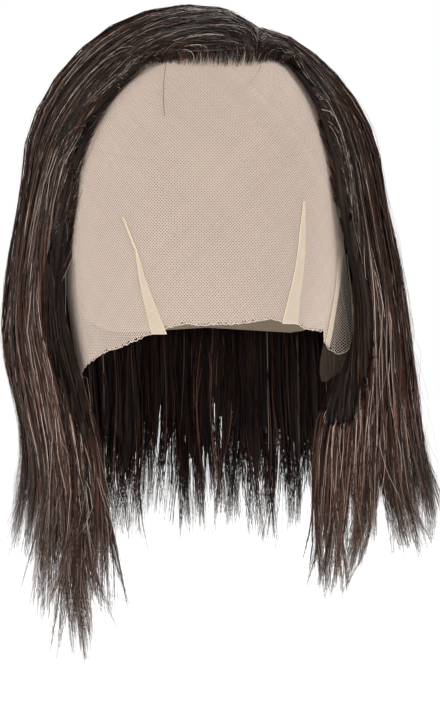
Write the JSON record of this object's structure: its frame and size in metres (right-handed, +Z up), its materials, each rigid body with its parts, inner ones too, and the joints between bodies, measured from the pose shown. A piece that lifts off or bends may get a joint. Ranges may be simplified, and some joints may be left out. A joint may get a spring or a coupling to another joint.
{
  "type": "lace front wig",
  "caption": "Side-parted shoulder-length lace front wig: hollow cap, forehead lace with dart folds and loose side margins, and swept hair in pointed locks.",
  "frame": {"origin": "inner top of the cap crown, where the wig sits on the head", "axes": "+X to the wearer's left, -Y the way the wearer faces, +Z up"},
  "size_m": [0.2446, 0.2115, 0.3556],
  "materials": {
    "cap_mesh": "matt stretch net",
    "lace": "matt tulle",
    "ear_net": "matt net",
    "hair": "soft sheen"
  },
  "bodies": {
    "root": {"cap_crown": "cap_mesh", "cap_nape": "cap_mesh", "lace_front": "lace", "ear_tab_left": "ear_net", "hair_right": "hair", "hair_back": "hair", "hair_left": "hair"}
  },
  "joints": []
}
